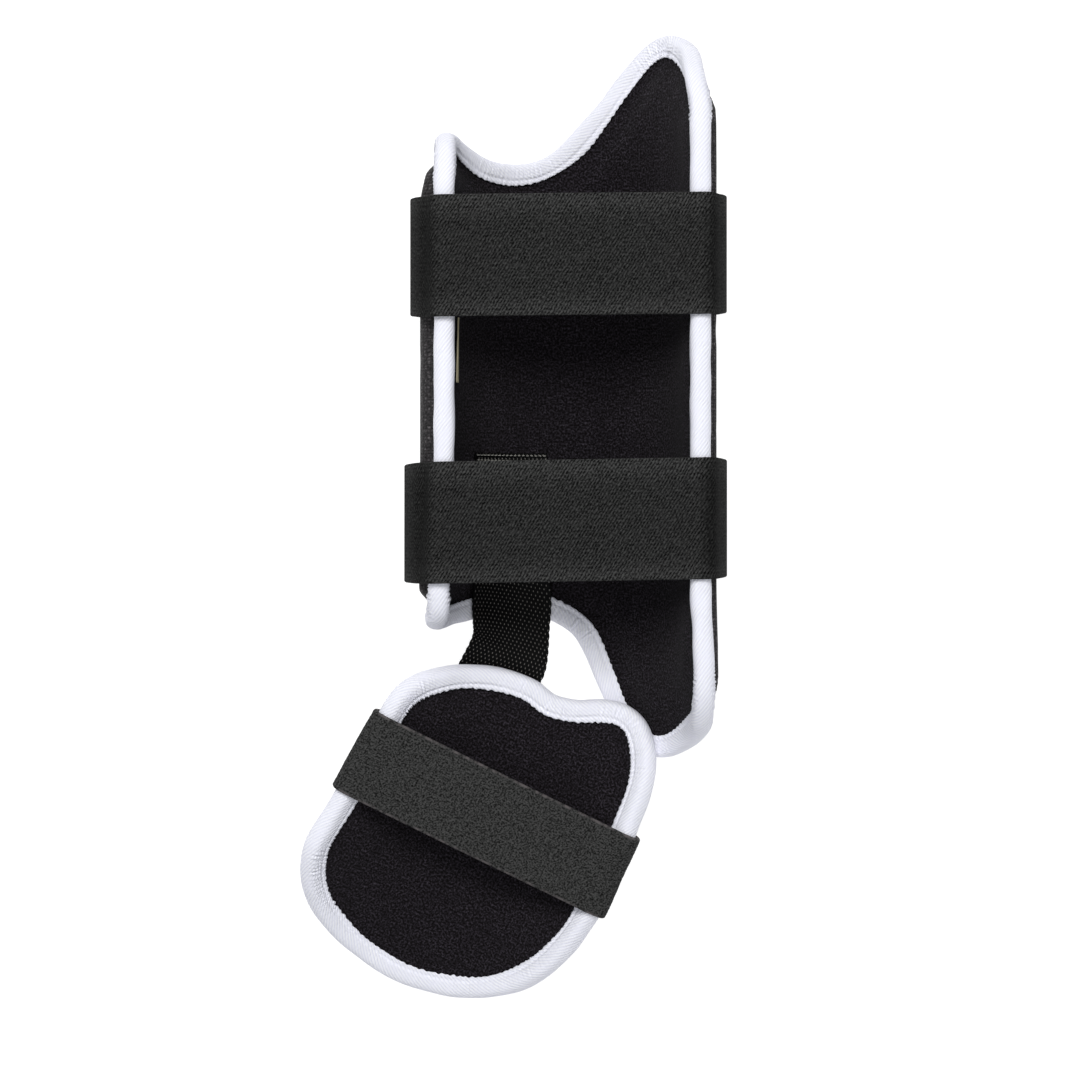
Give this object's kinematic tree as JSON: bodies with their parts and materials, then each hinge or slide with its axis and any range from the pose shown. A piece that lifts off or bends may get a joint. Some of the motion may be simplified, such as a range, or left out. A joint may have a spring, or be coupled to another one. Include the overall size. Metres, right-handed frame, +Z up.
{
  "type": "batter's leg and foot guard",
  "caption": "Padded shin guard, open at the calf with elastic straps across it, and a padded instep guard hung from its arched lower edge by a webbing tether.",
  "frame": {"origin": "on the surface that the guard lies on, under the middle of its overall box", "axes": "+Y along the shin towards the knee, +X across the guard to the long flap's side, +Z up, out of the open calf side"},
  "size_m": [0.1786, 0.4102, 0.0745],
  "materials": {
    "outer_cover": "coarse dark woven nylon",
    "lining": "short black pile",
    "binding": "white twill tape",
    "elastic": "charcoal twill elastic",
    "foot_elastic": "dark grey loop elastic",
    "webbing": "black woven webbing",
    "label": "plain tan woven label"
  },
  "bodies": {
    "root": {"leg_shell": "outer_cover", "leg_lining": "lining", "leg_binding": "binding", "strap_upper": "elastic", "strap_lower": "elastic", "side_label": "label", "tether_webbing": "webbing", "foot_shell": "outer_cover", "foot_lining": "lining", "foot_binding": "binding", "foot_strap": "foot_elastic"}
  },
  "joints": []
}
